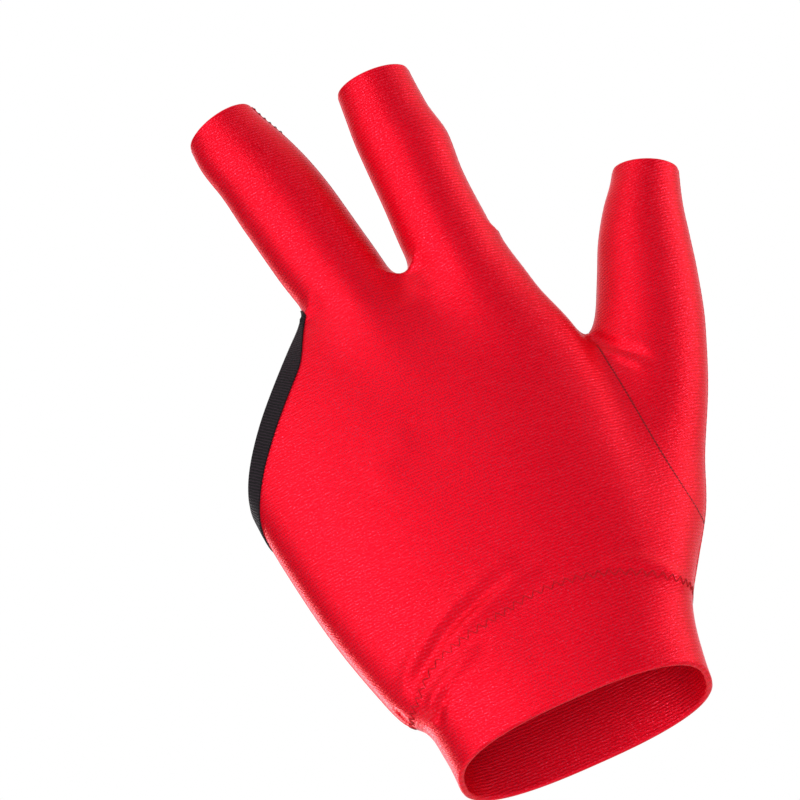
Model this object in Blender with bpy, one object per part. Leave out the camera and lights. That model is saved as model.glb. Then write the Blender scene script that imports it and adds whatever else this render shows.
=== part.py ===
"""Three-finger billiard glove for the left hand, worn, in the shape that the hand gives it.

Millimetres here, metres in the scene. The origin is the middle of the cuff's mouth. +Z runs up the arm to the
fingers, the back of the hand faces -Y and the thumb lies toward +X.
"""

import bpy
import numpy as np

MM = 0.001

# Driving sizes
CUFF_HEIGHT = 27.0
PALM_LENGTH = 129.0
MIDDLE_REACH = 185.5
INDEX_REACH = 179.0
THUMB_REACH = 131.5
WRIST_WIDTH = 68.0
WRIST_DEPTH = 42.0
HAND_WIDTH = 90.0
HAND_DEPTH = 33.0
MIDDLE_WIDTH = 23.5
INDEX_WIDTH = 22.5
THUMB_WIDTH = 25.0
FABRIC = 1.2
CUFF_FABRIC = 1.8
BINDING_WIDTH = 5.0
BINDING_END = 1.5
BINDING_TAPER = 3.0
BINDING_RAISE = 0.6
SEAM_GAP = 0.3
BINDING_GAP = 0.5

# How softly one part of the hand runs into the next
WEB_BLEND = 3.0
KNUCKLE_BLEND = 7.0
THUMB_BLEND = 8.0

# The grid that the surface is found on
CELL = (3.9, 3.9, 7.5)
SNAP_SHARE = 0.3

# Cuff: height as a share of CUFF_HEIGHT, sides of WRIST_WIDTH, back and palm of WRIST_DEPTH
CUFF_SECTIONS = [
    # height, left, right, back, palm
    (-0.50, -0.50, 0.50, -0.53, 0.50),
    (0.00, -0.485, 0.490, -0.52, 0.50),
    (0.35, -0.492, 0.505, -0.49, 0.50),
    (0.64, -0.518, 0.530, -0.47, 0.50),
    (0.80, -0.575, 0.555, -0.45, 0.51),
    (1.00, -0.608, 0.595, -0.42, 0.52),
]

# Palm: height as a share of the way from the cuff's seam to the fingers' web, sides of HAND_WIDTH, back and
# palm of HAND_DEPTH
PALM_SECTIONS = [
    # height, left, right, back, palm
    (0.19, -0.522, 0.470, -0.47, 0.72),
    (0.37, -0.562, 0.470, -0.40, 0.80),
    (0.54, -0.588, 0.460, -0.30, 0.82),
    (0.70, -0.588, 0.435, -0.20, 0.78),
    (0.80, -0.565, 0.385, -0.12, 0.74),
    (0.90, -0.450, 0.345, -0.02, 0.70),
    (0.97, -0.300, 0.300, 0.10, 0.54),
]

# Sleeves: height as a share of the sleeve's reach, x of HAND_WIDTH, y of HAND_DEPTH, width and depth of the
# sleeve's own width
MIDDLE_SECTIONS = [
    # height, x, y, width, depth
    (0.40, -0.020, 0.29, 0.70, 0.55),
    (0.54, -0.040, 0.28, 1.00, 1.02),
    (0.64, -0.075, 0.275, 1.02, 1.02),
    (0.70, -0.100, 0.28, 1.03, 0.98),
    (0.76, -0.126, 0.29, 1.06, 0.95),
    (0.84, -0.157, 0.31, 1.06, 0.94),
    (0.90, -0.183, 0.32, 1.02, 0.90),
    (0.95, -0.214, 0.33, 0.97, 0.86),
    (1.00, -0.240, 0.34, 0.82, 0.78),
    (1.06, -0.264, 0.35, 0.76, 0.74),
]
INDEX_SECTIONS = [
    # height, x, y, width, depth
    (0.42, 0.270, 0.26, 0.70, 0.55),
    (0.58, 0.245, 0.255, 1.02, 1.02),
    (0.67, 0.225, 0.255, 1.02, 1.01),
    (0.73, 0.217, 0.26, 1.02, 0.98),
    (0.82, 0.213, 0.26, 0.98, 0.95),
    (0.88, 0.216, 0.27, 1.01, 0.94),
    (0.94, 0.207, 0.27, 0.92, 0.90),
    (1.00, 0.208, 0.28, 0.86, 0.86),
    (1.06, 0.214, 0.28, 0.83, 0.82),
]
THUMB_SECTIONS = [
    # height, x, y, width, depth
    (0.14, 0.250, 0.20, 0.30, 0.60),
    (0.22, 0.335, 0.24, 0.74, 0.86),
    (0.30, 0.404, 0.30, 0.98, 1.00),
    (0.42, 0.461, 0.38, 1.16, 1.06),
    (0.54, 0.545, 0.44, 1.19, 1.04),
    (0.65, 0.609, 0.49, 1.20, 1.00),
    (0.76, 0.668, 0.54, 1.12, 0.96),
    (0.84, 0.709, 0.58, 1.02, 0.90),
    (0.90, 0.740, 0.60, 0.94, 0.84),
    (0.96, 0.782, 0.62, 0.84, 0.77),
    (1.00, 0.816, 0.63, 0.75, 0.72),
    (1.06, 0.856, 0.64, 0.66, 0.66),
]

# Where each sleeve ends: its middle as shares of HAND_WIDTH, HAND_DEPTH and its reach, the way that the end
# faces, and the stretch of HAND_WIDTH that the end lies in
MIDDLE_FACING = (-0.21, 0.05, 0.98)
SLEEVE_ENDS = [
    # middle, reach, facing, from x, to x
    ((-0.231, 0.34), MIDDLE_REACH, MIDDLE_FACING, -0.70, 0.06),
    ((0.211, 0.28), INDEX_REACH, (0.03, 0.00, 1.00), 0.06, 0.36),
    ((0.808, 0.63), THUMB_REACH, (0.40, 0.05, 0.92), 0.50, 1.20),
]

# Opening for the ring and little finger: its edge runs from the middle finger's root down to the hand's side
OPENING_TOP = (-0.25, 0.99)
OPENING_SIDE = (-0.58, 0.715)
OPENING_FALL = 0.45

# The mouth's edge rises this much for each millimetre toward the back of the hand and falls toward the palm
MOUTH_SLOPE = (0.33, 0.19)

# The cuff's seam is level round the palm and rises over the back of the hand
CUFF_SEAM = [
    # x as a share of WRIST_WIDTH, height as a share of CUFF_HEIGHT
    (-0.56, 0.66),
    (-0.49, 0.80),
    (-0.40, 1.00),
    (-0.28, 1.10),
    (-0.10, 1.18),
    (0.06, 1.23),
    (0.25, 1.17),
    (0.39, 1.05),
    (0.48, 0.92),
    (0.57, 0.78),
]

# The thumb's seam runs up beside the palm
THUMB_SEAM = [
    # height as a share of PALM_LENGTH, x as a share of HAND_WIDTH
    (0.18, 0.56),
    (0.31, 0.530),
    (0.42, 0.506),
    (0.60, 0.485),
    (0.72, 0.472),
    (1.10, 0.47),
]

COLOURS = {
    "back_panel": (0.62, 0.005, 0.02),
    "thumb_panel": (0.66, 0.006, 0.022),
    "cuff": (0.58, 0.005, 0.018),
    "palm_panel": (0.02, 0.02, 0.022),
    "opening_binding": (0.03, 0.03, 0.034),
}


def curve(heights, values, z):
    """A smooth curve through a table's column, without overshoot: Hermite pieces with limited slopes."""
    heights = np.asarray(heights, float)
    values = np.asarray(values, float)
    steps = np.diff(heights)
    rises = np.diff(values) / steps
    slopes = np.concatenate([rises[:1], (rises[:-1] + rises[1:]) / 2, rises[-1:]])
    turning = np.concatenate([[False], rises[:-1] * rises[1:] <= 0, [False]])
    slopes[turning] = 0
    z = np.clip(z, heights[0], heights[-1])
    i = np.clip(np.searchsorted(heights, z) - 1, 0, len(steps) - 1)
    t = (z - heights[i]) / steps[i]
    start = values[i] * (1 + 2 * t) * (1 - t) ** 2 + values[i + 1] * (3 - 2 * t) * t**2
    return start + steps[i] * t * (1 - t) * (slopes[i] * (1 - t) - slopes[i + 1] * t)


def palm_rows():
    """Centre, half width and half depth of the cuff and palm at each height."""
    rows = [
        (h * CUFF_HEIGHT, a * WRIST_WIDTH, b * WRIST_WIDTH, c * WRIST_DEPTH, d * WRIST_DEPTH)
        for h, a, b, c, d in CUFF_SECTIONS
    ]
    rows += [
        (
            CUFF_HEIGHT + h * (PALM_LENGTH - CUFF_HEIGHT),
            a * HAND_WIDTH,
            b * HAND_WIDTH,
            c * HAND_DEPTH,
            d * HAND_DEPTH,
        )
        for h, a, b, c, d in PALM_SECTIONS
    ]
    z, left, right, back, palm = np.array(rows).T
    return z, (left + right) / 2, (back + palm) / 2, (right - left) / 2, (palm - back) / 2


def sleeve_rows(sections, reach, width):
    """Centre, half width and half depth of a sleeve at each height."""
    z, x, y, wide, deep = np.array(sections).T
    return z * reach, x * HAND_WIDTH, y * HAND_DEPTH, wide * width / 2, deep * width / 2


PALM = palm_rows()
MIDDLE = sleeve_rows(MIDDLE_SECTIONS, MIDDLE_REACH, MIDDLE_WIDTH)
INDEX = sleeve_rows(INDEX_SECTIONS, INDEX_REACH, INDEX_WIDTH)
THUMB = sleeve_rows(THUMB_SECTIONS, THUMB_REACH, THUMB_WIDTH)
PALM_SQUARENESS = 2.5
SLEEVE_SQUARENESS = 2.0


def column(p, rows, power):
    """About how far each point lies outside a column of oval sections, and the height of its middle plane."""
    z = p[:, 2]
    cx, cy, half_width, half_depth = (curve(rows[0], values, z) for values in rows[1:])
    across = np.abs((p[:, 0] - cx) / half_width)
    through = np.abs((p[:, 1] - cy) / half_depth)
    size = (across**power + through**power + 1e-9) ** (1 / power)
    ends = np.maximum(rows[0][0] - z, z - rows[0][-1])
    return np.maximum((size - 1) * np.sqrt(half_width * half_depth), ends), cy


def blend(a, b, width):
    """The smaller of two distances, rounded where they are alike."""
    h = np.clip(0.5 + 0.5 * (b - a) / width, 0, 1)
    return b * (1 - h) + a * h - width * h * (1 - h)


def hand(p):
    """About how far each point lies outside the gloved hand."""
    palm, _ = column(p, PALM, PALM_SQUARENESS)
    middle, index, thumb = (column(p, rows, SLEEVE_SQUARENESS)[0] for rows in (MIDDLE, INDEX, THUMB))
    fingers = blend(middle, index, WEB_BLEND)
    return blend(blend(palm, fingers, KNUCKLE_BLEND), thumb, THUMB_BLEND)


def slope(field, p, step=0.05):
    """The gradient of a field."""
    sides = np.eye(3) * step
    return np.stack([field(p + side) - field(p - side) for side in sides], axis=1) / (2 * step)


def outward(p):
    """The surface's unit normal at each point."""
    normal = slope(hand, p)
    return normal / np.linalg.norm(normal, axis=1, keepdims=True)


def settle(p, field, rounds=4):
    """Points moved onto the place where the field is zero."""
    for _ in range(rounds):
        normal = slope(field, p)
        p = p - normal * (field(p) / np.maximum((normal**2).sum(axis=1), 0.05))[:, None]
    return p


def fill_saddles(values):
    """Fills a grid point beside each face of the grid whose corners are inside and outside by turns."""
    for axis in range(3):
        layers = np.moveaxis(values, axis, 2)
        inside = layers < 0
        near, far = inside[:-1, :-1], inside[1:, 1:]
        left, right = inside[1:, :-1], inside[:-1, 1:]
        for u, v, w in np.argwhere((near == far) & (left == right) & (near != left)):
            corners = [(u, v, w), (u + 1, v + 1, w), (u + 1, v, w), (u, v + 1, w)]
            outside = [corner for corner in corners if layers[corner] >= 0]
            layers[min(outside, key=lambda corner: layers[corner])] = -0.01


def surface(field, low, high, cell):
    """The field's zero surface as points and triangles: one point in each grid cell that it passes through."""
    axes = [np.arange(a, b + c, c) for a, b, c in zip(low, high, cell)]
    shape = np.array([len(axis) for axis in axes])
    grid = np.stack(np.meshgrid(*axes, indexing="ij"), axis=-1).reshape(-1, 3)
    values = field(grid).reshape(shape)
    for _ in range(3):
        fill_saddles(values)
    quads = []
    crossings = []
    for axis in range(3):
        first = np.take(values, range(shape[axis] - 1), axis)
        second = np.take(values, range(1, shape[axis]), axis)
        at = np.argwhere((first < 0) != (second < 0))
        a = first[tuple(at.T)]
        b = second[tuple(at.T)]
        place = at.astype(float)
        place[:, axis] += a / (a - b)
        u = np.eye(3, dtype=int)[(axis + 1) % 3]
        v = np.eye(3, dtype=int)[(axis + 2) % 3]
        around = np.stack([at - u - v, at - v, at, at - u], axis=1)
        around[a >= 0] = around[a >= 0][:, ::-1]
        quads.append(around @ np.array([shape[1] * shape[2], shape[2], 1]))
        crossings.append(place)
    quads = np.concatenate(quads)
    crossings = np.concatenate(crossings)
    cells, index = np.unique(quads, return_inverse=True)
    index = index.reshape(-1, 4)
    count = np.bincount(index.ravel(), minlength=len(cells))
    points = np.stack(
        [np.bincount(index.ravel(), np.repeat(crossings[:, i], 4)) / count for i in range(3)], axis=1
    )
    points = settle(points * np.array(cell) + np.array(low), field)
    spans = [np.linalg.norm(points[index[:, i]] - points[index[:, i + 2]], axis=1) for i in (0, 1)]
    turned = np.where((spans[0] > spans[1])[:, None], np.roll(index, -1, axis=1), index)
    return points, np.concatenate([turned[:, [0, 1, 2]], turned[:, [0, 2, 3]]])


def split(points, faces, level):
    """Cuts the triangles where the level is zero: the points, and the faces above it and below it."""
    values = level(points)
    used = np.unique(faces)
    ends = np.concatenate([faces[:, [0, 1]], faces[:, [1, 2]], faces[:, [2, 0]]])
    reach = np.full(len(points), np.inf)
    change = np.abs(values[ends[:, 0]] - values[ends[:, 1]])
    np.minimum.at(reach, ends[:, 0], np.maximum(change, 0.5))
    near = used[(np.abs(values[used]) < SNAP_SHARE * np.minimum(reach[used], min(CELL)))]
    if len(near):
        moved = points[near]
        for _ in range(3):
            normal = outward(moved)
            way = slope(level, moved)
            way -= normal * (way * normal).sum(axis=1, keepdims=True)
            moved = moved - way * (level(moved) / np.maximum((way**2).sum(axis=1), 0.05))[:, None]
            moved = settle(moved, hand, 1)
        close = np.linalg.norm(moved - points[near], axis=1) < SNAP_SHARE * min(CELL)
        points = points.copy()
        points[near[close]] = moved[close]
        values[near[close]] = 0
    made = {}
    added = []

    def crossing(a, b):
        key = (min(a, b), max(a, b))
        if key not in made:
            share = values[a] / (values[a] - values[b])
            made[key] = len(points) + len(added)
            added.append(points[a] + share * (points[b] - points[a]))
        return made[key]

    low_side = (values[faces] <= 0).all(axis=1)
    high_side = (values[faces] >= 0).all(axis=1) & ~low_side
    above = list(map(tuple, faces[high_side]))
    below = list(map(tuple, faces[low_side]))
    for face in faces[~low_side & ~high_side]:
        for keep, sign in ((above, 1), (below, -1)):
            ring = []
            for a, b in zip(face, np.roll(face, -1)):
                if sign * values[a] >= 0:
                    ring.append(a)
                if values[a] * values[b] < 0:
                    ring.append(crossing(a, b))
            keep.extend((ring[0], ring[i], ring[i + 1]) for i in range(1, len(ring) - 1))
    if added:
        points = np.concatenate([points, settle(np.array(added), hand, 2)])
    return points, np.array(above).reshape(-1, 3), np.array(below).reshape(-1, 3)


def past_ends(p):
    """How far each point lies past the end of the sleeve that it is on."""
    past = np.full(len(p), -HAND_WIDTH)
    for (x, y), reach, facing, start, stop in SLEEVE_ENDS:
        end = np.array([x * HAND_WIDTH, y * HAND_DEPTH, reach])
        here = (p[:, 0] > start * HAND_WIDTH) & (p[:, 0] < stop * HAND_WIDTH)
        past[here] = (p[here] - end) @ (np.array(facing) / np.linalg.norm(facing))
    return past


def under_mouth(p):
    """How far each point lies below the cuff's mouth."""
    rise = MOUTH_SLOPE[0] * np.maximum(-p[:, 1], 0) - MOUTH_SLOPE[1] * np.maximum(p[:, 1], 0)
    return rise - p[:, 2]


def over_cuff_seam(p):
    """Height over the seam between the cuff and the hand."""
    x, height = np.array(CUFF_SEAM).T
    level = (height[0] + height[-1]) / 2
    backward = np.clip(0.5 - p[:, 1] / (0.3 * WRIST_DEPTH), 0, 1)
    rise = curve(x * WRIST_WIDTH, height - level, p[:, 0]) * backward**2 * (3 - 2 * backward)
    return p[:, 2] - (level + rise) * CUFF_HEIGHT


def opening_sides(p):
    """How far each point lies beyond the ring and little finger's opening, beside the middle finger, and below the
    opening's top."""
    top = np.array([OPENING_TOP[0] * HAND_WIDTH, OPENING_TOP[1] * PALM_LENGTH])
    side = np.array([OPENING_SIDE[0] * HAND_WIDTH, OPENING_SIDE[1] * PALM_LENGTH])
    along = (top - side) / np.linalg.norm(top - side)
    out = np.array([-along[1], along[0]])
    down = (top - p[:, [0, 2]]) @ along
    fall = OPENING_FALL * np.clip(down / np.linalg.norm(top - side), 0, 1)
    apart = (p[:, [0, 2]] - top) @ out + fall * p[:, 1]
    outside = (p[:, [0, 2]] - top) @ np.array([-MIDDLE_FACING[2], MIDDLE_FACING[0]])
    return apart, outside, down


def past_opening(p):
    apart, outside, _ = opening_sides(p)
    return np.minimum(apart, outside)


def in_binding(p):
    """How far each point lies inside the band that edges the opening."""
    apart, outside, down = opening_sides(p)
    share = np.clip(down / (BINDING_TAPER * BINDING_WIDTH), 0, 1)
    width = BINDING_END + (BINDING_WIDTH - BINDING_END) * share**2 * (3 - 2 * share)
    return np.minimum(np.minimum(apart, outside) + width, BINDING_WIDTH / 2 - apart)


def toward_palm(p):
    """How far each point lies on the palm's side of the glove's side seams."""
    parts = [column(p, PALM, PALM_SQUARENESS)]
    parts += [column(p, rows, SLEEVE_SQUARENESS) for rows in (MIDDLE, INDEX, THUMB)]
    nearness = np.array([np.exp(-np.clip(distance, -30, 30) / WEB_BLEND) for distance, _ in parts])
    middles = np.array([middle for _, middle in parts])
    return p[:, 1] - (nearness * middles).sum(axis=0) / nearness.sum(axis=0)


def toward_thumb(p):
    """How far each point lies on the thumb's side of the thumb's seam."""
    z, x = np.array(THUMB_SEAM).T
    return p[:, 0] - curve(z * PALM_LENGTH, x * HAND_WIDTH, p[:, 2])


def cut_out(points, faces):
    """The glove's surface cut into its pieces."""
    for away in (past_ends, past_opening, under_mouth):
        points, _, faces = split(points, faces, away)
    points, rest, cuff = split(points, faces, over_cuff_seam)
    points, binding, rest = split(points, rest, in_binding)
    points, palm, back = split(points, rest, toward_palm)
    points, thumb, back = split(points, back, toward_thumb)
    pieces = {
        "back_panel": back,
        "thumb_panel": thumb,
        "palm_panel": palm,
        "cuff": cuff,
        "opening_binding": binding,
    }
    return points, pieces


def largest(faces):
    """The faces of the largest patch that hangs together along edges, with crumbs left out."""
    labels = np.arange(len(faces))
    ends = np.sort(np.concatenate([faces[:, [0, 1]], faces[:, [1, 2]], faces[:, [2, 0]]]), axis=1)
    owner = np.tile(np.arange(len(faces)), 3)
    order = np.lexsort(ends.T)
    same = (np.diff(ends[order], axis=0) == 0).all(axis=1)
    first = owner[order][:-1][same]
    second = owner[order][1:][same]
    while True:
        lower = np.minimum(labels[first], labels[second])
        before = labels.copy()
        np.minimum.at(labels, first, lower)
        np.minimum.at(labels, second, lower)
        labels = labels[labels]
        if (labels == before).all():
            break
    return faces[labels == np.bincount(labels).argmax()]


def unpinched(points, faces):
    """Gives each fan of faces its own point where two fans of a patch meet at one point only."""
    around = {}
    for i, face in enumerate(faces):
        for corner in face:
            around.setdefault(corner, []).append(i)
    points = list(points)
    faces = faces.copy()
    for corner, fans in around.items():
        groups = []
        for i in fans:
            others = set(faces[i]) - {corner}
            joined = [group for group in groups if group[0] & others]
            for group in joined:
                groups.remove(group)
                others |= group[0]
            groups.append((others, sum((group[1] for group in joined), [i])))
        for _, members in groups[1:]:
            points.append(points[corner])
            for i in members:
                faces[i][faces[i] == corner] = len(points) - 1
    return np.array(points), faces


def shell(points, faces, inside, outside, draw_back):
    """The closed wall of one piece, with its edges drawn back for the seams' gap."""
    points, faces = unpinched(points, largest(faces))
    used, index = np.unique(faces, return_inverse=True)
    faces = index.reshape(-1, 3)
    place = points[used]
    normal = outward(place)
    ends = np.concatenate([faces[:, [0, 1]], faces[:, [1, 2]], faces[:, [2, 0]]])
    known = {(a, b) for a, b in ends}
    edge = np.array([(a, b) for a, b in ends if (b, a) not in known])
    along = place[edge[:, 1]] - place[edge[:, 0]]
    out = np.cross(along, (normal[edge[:, 0]] + normal[edge[:, 1]]) / 2)
    out /= np.linalg.norm(out, axis=1, keepdims=True)
    pull = np.zeros_like(place)
    np.add.at(pull, edge[:, 0], out)
    np.add.at(pull, edge[:, 1], out)
    length = np.linalg.norm(pull, axis=1, keepdims=True)
    pull = np.where(length > 0.5, pull / np.maximum(length, 0.5) ** 2 * 2, 0)
    place = place - pull * draw_back
    count = len(place)
    points = np.concatenate([place + normal * outside, place - normal * inside])
    rim = [(b, a, a + count) for a, b in edge] + [(b, a + count, b + count) for a, b in edge]
    return points, np.concatenate([faces, faces[:, ::-1] + count, np.array(rim)])


def add_piece(name, points, faces, collection):
    mesh = bpy.data.meshes.new(name)
    mesh.from_pydata((points * MM).tolist(), [], faces.tolist())
    mesh.update()
    piece = bpy.data.objects.new(name, mesh)
    collection.objects.link(piece)
    material = bpy.data.materials.new(name)
    material.use_nodes = True
    shader = material.node_tree.nodes["Principled BSDF"]
    shader.inputs["Base Color"].default_value = (*COLOURS[name], 1)
    shader.inputs["Roughness"].default_value = 0.6
    material.diffuse_color = (*COLOURS[name], 1)
    mesh.materials.append(material)
    return piece


def build():
    for old in list(bpy.data.objects):
        bpy.data.objects.remove(old)
    collection = bpy.data.collections.new("billiard_glove")
    bpy.context.scene.collection.children.link(collection)
    low = (-0.75 * HAND_WIDTH, -0.75 * WRIST_DEPTH, -0.6 * CUFF_HEIGHT)
    high = (1.10 * HAND_WIDTH, 1.2 * HAND_DEPTH, 1.08 * max(MIDDLE_REACH, INDEX_REACH, THUMB_REACH))
    points, faces = surface(hand, low, high, CELL)
    points, pieces = cut_out(points, faces)
    for name, piece in pieces.items():
        if name == "opening_binding":
            solid = shell(points, piece, FABRIC + BINDING_RAISE, BINDING_RAISE, BINDING_GAP - SEAM_GAP / 2)
        else:
            solid = shell(points, piece, CUFF_FABRIC if name == "cuff" else FABRIC, 0, SEAM_GAP / 2)
        add_piece(name, *solid, collection)


build()
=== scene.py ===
"""Three-finger billiard glove, dressed: its fabric panels, folds, seams, stitches and elastic binding.

Millimetres in the sizes, metres in the scene. The sizes and sections repeat the CAD source's, but for
BINDING_RAISE.
"""

import math

import bpy
import numpy as np
from mathutils import Matrix, Vector

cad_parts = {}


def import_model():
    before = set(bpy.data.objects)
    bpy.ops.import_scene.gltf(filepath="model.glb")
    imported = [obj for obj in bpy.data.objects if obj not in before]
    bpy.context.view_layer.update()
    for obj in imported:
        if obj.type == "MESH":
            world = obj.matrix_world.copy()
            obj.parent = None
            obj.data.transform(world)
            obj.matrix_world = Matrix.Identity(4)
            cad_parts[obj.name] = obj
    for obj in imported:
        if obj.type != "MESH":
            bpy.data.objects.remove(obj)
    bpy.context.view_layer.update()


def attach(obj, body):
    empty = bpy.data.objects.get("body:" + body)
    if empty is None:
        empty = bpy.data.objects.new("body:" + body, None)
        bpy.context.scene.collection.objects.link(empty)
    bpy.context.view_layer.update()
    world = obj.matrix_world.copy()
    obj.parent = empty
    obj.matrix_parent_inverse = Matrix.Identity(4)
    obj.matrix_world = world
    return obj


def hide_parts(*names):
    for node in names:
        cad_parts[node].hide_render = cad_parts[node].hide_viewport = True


MM = 0.001

# Driving sizes
CUFF_HEIGHT = 27.0
PALM_LENGTH = 129.0
MIDDLE_REACH = 185.5
INDEX_REACH = 179.0
THUMB_REACH = 131.5
WRIST_WIDTH = 68.0
WRIST_DEPTH = 42.0
HAND_WIDTH = 90.0
HAND_DEPTH = 33.0
MIDDLE_WIDTH = 23.5
INDEX_WIDTH = 22.5
THUMB_WIDTH = 25.0
FABRIC = 1.2
CUFF_FABRIC = 1.8
BINDING_WIDTH = 5.0
BINDING_END = 1.5
BINDING_TAPER = 3.0
# How far the binding's face stands proud of the panels' faces: 0.1 less than in the CAD source
BINDING_RAISE = 0.5

# How softly one part of the hand runs into the next
WEB_BLEND = 3.0
KNUCKLE_BLEND = 7.0
THUMB_BLEND = 8.0

# The grid that the surface is found on
CELL = (1.0, 1.0, 1.1)
SNAP_SHARE = 0.3

# Cuff: height as a share of CUFF_HEIGHT, sides of WRIST_WIDTH, back and palm of WRIST_DEPTH
CUFF_SECTIONS = [
    # height, left, right, back, palm
    (-0.50, -0.50, 0.50, -0.53, 0.50),
    (0.00, -0.485, 0.490, -0.52, 0.50),
    (0.35, -0.492, 0.505, -0.49, 0.50),
    (0.64, -0.518, 0.530, -0.47, 0.50),
    (0.80, -0.575, 0.555, -0.45, 0.51),
    (1.00, -0.608, 0.595, -0.42, 0.52),
]

# Palm: height as a share of the way from the cuff's seam to the fingers' web, sides of HAND_WIDTH, back and
# palm of HAND_DEPTH
PALM_SECTIONS = [
    # height, left, right, back, palm
    (0.19, -0.522, 0.470, -0.47, 0.72),
    (0.37, -0.562, 0.470, -0.40, 0.80),
    (0.54, -0.588, 0.460, -0.30, 0.82),
    (0.70, -0.588, 0.435, -0.20, 0.78),
    (0.80, -0.565, 0.385, -0.12, 0.74),
    (0.90, -0.450, 0.345, -0.02, 0.70),
    (0.97, -0.300, 0.300, 0.10, 0.54),
]

# Sleeves: height as a share of the sleeve's reach, x of HAND_WIDTH, y of HAND_DEPTH, width and depth of the
# sleeve's own width
MIDDLE_SECTIONS = [
    # height, x, y, width, depth
    (0.40, -0.020, 0.29, 0.70, 0.55),
    (0.54, -0.040, 0.28, 1.00, 1.02),
    (0.64, -0.075, 0.275, 1.02, 1.02),
    (0.70, -0.100, 0.28, 1.03, 0.98),
    (0.76, -0.126, 0.29, 1.06, 0.95),
    (0.84, -0.157, 0.31, 1.06, 0.94),
    (0.90, -0.183, 0.32, 1.02, 0.90),
    (0.95, -0.214, 0.33, 0.97, 0.86),
    (1.00, -0.240, 0.34, 0.82, 0.78),
    (1.06, -0.264, 0.35, 0.76, 0.74),
]
INDEX_SECTIONS = [
    # height, x, y, width, depth
    (0.42, 0.270, 0.26, 0.70, 0.55),
    (0.58, 0.245, 0.255, 1.02, 1.02),
    (0.67, 0.225, 0.255, 1.02, 1.01),
    (0.73, 0.217, 0.26, 1.02, 0.98),
    (0.82, 0.213, 0.26, 0.98, 0.95),
    (0.88, 0.216, 0.27, 1.01, 0.94),
    (0.94, 0.207, 0.27, 0.92, 0.90),
    (1.00, 0.208, 0.28, 0.86, 0.86),
    (1.06, 0.214, 0.28, 0.83, 0.82),
]
THUMB_SECTIONS = [
    # height, x, y, width, depth
    (0.14, 0.250, 0.20, 0.30, 0.60),
    (0.22, 0.335, 0.24, 0.74, 0.86),
    (0.30, 0.404, 0.30, 0.98, 1.00),
    (0.42, 0.461, 0.38, 1.16, 1.06),
    (0.54, 0.545, 0.44, 1.19, 1.04),
    (0.65, 0.609, 0.49, 1.20, 1.00),
    (0.76, 0.668, 0.54, 1.12, 0.96),
    (0.84, 0.709, 0.58, 1.02, 0.90),
    (0.90, 0.740, 0.60, 0.94, 0.84),
    (0.96, 0.782, 0.62, 0.84, 0.77),
    (1.00, 0.816, 0.63, 0.75, 0.72),
    (1.06, 0.856, 0.64, 0.66, 0.66),
]

# Where each sleeve ends: its middle as shares of HAND_WIDTH, HAND_DEPTH and its reach, the way that the end
# faces, and the stretch of HAND_WIDTH that the end lies in
MIDDLE_FACING = (-0.21, 0.05, 0.98)
SLEEVE_ENDS = [
    # middle, reach, facing, from x, to x
    ((-0.231, 0.34), MIDDLE_REACH, MIDDLE_FACING, -0.70, 0.06),
    ((0.211, 0.28), INDEX_REACH, (0.03, 0.00, 1.00), 0.06, 0.36),
    ((0.808, 0.63), THUMB_REACH, (0.40, 0.05, 0.92), 0.50, 1.20),
]

# Opening for the ring and little finger: its edge runs from the middle finger's root down to the hand's side
OPENING_TOP = (-0.25, 0.99)
OPENING_SIDE = (-0.58, 0.715)
OPENING_FALL = 0.45

# The mouth's edge rises this much for each millimetre toward the back of the hand and falls toward the palm
MOUTH_SLOPE = (0.33, 0.19)

# The cuff's seam is level round the palm and rises over the back of the hand
CUFF_SEAM = [
    # x as a share of WRIST_WIDTH, height as a share of CUFF_HEIGHT
    (-0.56, 0.66),
    (-0.49, 0.80),
    (-0.40, 1.00),
    (-0.28, 1.10),
    (-0.10, 1.18),
    (0.06, 1.23),
    (0.25, 1.17),
    (0.39, 1.05),
    (0.48, 0.92),
    (0.57, 0.78),
]

# The thumb's seam runs up beside the palm
THUMB_SEAM = [
    # height as a share of PALM_LENGTH, x as a share of HAND_WIDTH
    (0.18, 0.56),
    (0.31, 0.530),
    (0.42, 0.506),
    (0.60, 0.485),
    (0.72, 0.472),
    (1.10, 0.47),
]

# The camera that took the photograph: how far it looks up, how far it is rolled, and its picture's scale
# where the glove is
CAMERA_RISE = math.radians(15)
CAMERA_ROLL = math.radians(24)
CAMERA_DISTANCE = 850.0
PICTURE_WIDTH = 200.0
PICTURE_PIXELS = 800
CAMERA_TARGET = (-8.044, 5.0, 97.423)
CAMERA_SENSOR = 36

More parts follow.
